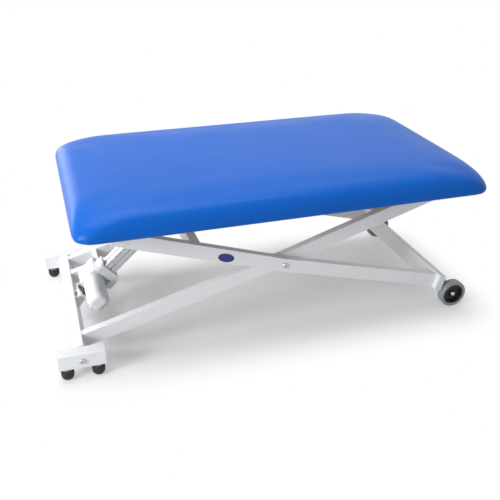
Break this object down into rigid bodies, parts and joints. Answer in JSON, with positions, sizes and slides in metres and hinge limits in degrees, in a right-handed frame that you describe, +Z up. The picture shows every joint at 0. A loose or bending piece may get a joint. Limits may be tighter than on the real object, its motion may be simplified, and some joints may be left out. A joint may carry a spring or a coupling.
{
  "type": "bobath table",
  "caption": "Electric height-adjustable therapy table: wide padded top on an open scissor lift with rubber feet, two wheels and a linear drive.",
  "frame": {"origin": "on the floor, midway along the length between the foot beams' ends and the wheels' rims and midway across the cushion", "axes": "+X along the table from the foot beams to the wheels, +Y across it away from the motor's side, +Z up"},
  "size_m": [1.617, 0.9, 0.6155],
  "materials": {
    "white_frame": "satin",
    "white_plastic": "satin",
    "black_plastic": "satin",
    "grey_plastic": "satin",
    "black_rubber": "matte",
    "grey_tyre": "satin",
    "zinc_steel": "satin",
    "polished_rod": "polished",
    "guide_aluminium": "satin",
    "board_wood": "matte",
    "blue_cover": "satin"
  },
  "bodies": {
    "base": {"foot_beam_near": "white_frame", "foot_beam_far": "white_frame", "foot_beam_caps": "white_plastic", "rubber_feet": "black_rubber", "foot_studs": "zinc_steel", "base_pivot_shaft": "zinc_steel", "base_pivot_screws": "zinc_steel", "thrust_washers": "black_plastic"},
    "inner_frame": {"base_crossbeam": "white_frame", "crossbeam_bushes": "black_plastic", "inner_arm_near": "white_frame", "inner_arm_far": "white_frame", "inner_arm_plugs": "white_plastic", "inner_cross_tube": "white_frame", "brace_stub": "white_frame", "brace_bar": "white_frame", "drive_rear_ears": "white_frame", "drive_rear_pin": "zinc_steel", "roller_axles": "zinc_steel"},
    "outer_frame": {"outer_arm_near": "white_frame", "outer_arm_far": "white_frame", "outer_arm_plugs": "white_plastic", "outer_cross_tube": "white_frame", "drive_lugs": "white_frame", "axle_beam": "white_frame", "axle_beam_caps": "white_plastic", "wheel_brackets": "white_frame", "wheel_axles": "zinc_steel", "mid_pivot_bolts": "zinc_steel", "mid_pivot_spacers": "black_plastic"},
    "wheel_near": {"tyre_near": "grey_tyre", "wheel_hub_near": "black_plastic"},
    "wheel_far": {"tyre_far": "grey_tyre", "wheel_hub_far": "black_plastic"},
    "roller_near": {"roller_near": "black_plastic"},
    "roller_far": {"roller_far": "black_plastic"},
    "drive": {"drive_rear_boss": "white_plastic", "drive_buffer": "black_rubber", "gear_housing": "white_plastic", "housing_seal": "black_rubber", "motor_housing": "white_plastic", "motor_studs": "zinc_steel", "cable_gland": "black_plastic", "gear_block": "grey_plastic", "gear_cover": "white_plastic", "cover_screws": "zinc_steel", "guide_profile": "guide_aluminium", "guide_end_cap": "grey_plastic", "guide_switch_housing": "grey_plastic"},
    "rod": {"push_rod": "polished_rod", "rod_eye": "zinc_steel", "rod_front_pin": "zinc_steel"},
    "top": {"side_rails": "white_frame", "end_rails": "white_frame", "cross_rails": "white_frame", "hinge_plates": "white_frame", "hinge_bolts": "zinc_steel", "roller_channels": "white_frame", "top_board": "board_wood", "cushion": "blue_cover"}
  },
  "joints": [
    {"name": "lift", "type": "hinge", "parent": "base", "child": "inner_frame", "pos_m": [-0.728, 0, 0.0765], "axis": [0, -1, 0], "range_deg": [-4.2, 12.8]},
    {"name": "cross", "type": "hinge", "parent": "inner_frame", "child": "outer_frame", "pos_m": [0.0326, 0, 0.285], "axis": [0, -1, 0], "range_deg": [-26.32, 8.65]},
    {"name": "top_hinge", "type": "hinge", "parent": "outer_frame", "child": "top", "pos_m": [-0.54983, 0, 0.472], "axis": [0, -1, 0], "range_deg": [-4.44, 13.51]},
    {"name": "drive_pivot", "type": "hinge", "parent": "inner_frame", "child": "drive", "pos_m": [-0.6915, 0, 0.096], "axis": [0, -1, 0], "range_deg": [-2.17, 6.6]},
    {"name": "rod_slide", "type": "slide", "parent": "drive", "child": "rod", "axis": [0.7431, 0, 0.6691], "range_m": [-0.0583, 0.1774]},
    {"name": "wheel_near_spin", "type": "hinge", "parent": "outer_frame", "child": "wheel_near", "pos_m": [0.7535, -0.34, 0.055], "axis": [0, 1, 0], "continuous": true},
    {"name": "wheel_far_spin", "type": "hinge", "parent": "outer_frame", "child": "wheel_far", "pos_m": [0.7535, 0.328, 0.055], "axis": [0, 1, 0], "continuous": true},
    {"name": "roller_near_spin", "type": "hinge", "parent": "inner_frame", "child": "roller_near", "pos_m": [0.64707, -0.31025, 0.49279], "axis": [0, 1, 0], "continuous": true},
    {"name": "roller_far_spin", "type": "hinge", "parent": "inner_frame", "child": "roller_far", "pos_m": [0.64707, 0.36025, 0.49279], "axis": [0, 1, 0], "continuous": true}
  ],
  "couplings": [
    {"joint": "cross", "follows": "lift", "ratio": -2.055},
    {"joint": "top_hinge", "follows": "lift", "ratio": 1.055},
    {"joint": "drive_pivot", "follows": "lift", "ratio": 0.51433},
    {"joint": "rod_slide", "follows": "lift", "m_per_rad": 0.79331}
  ]
}
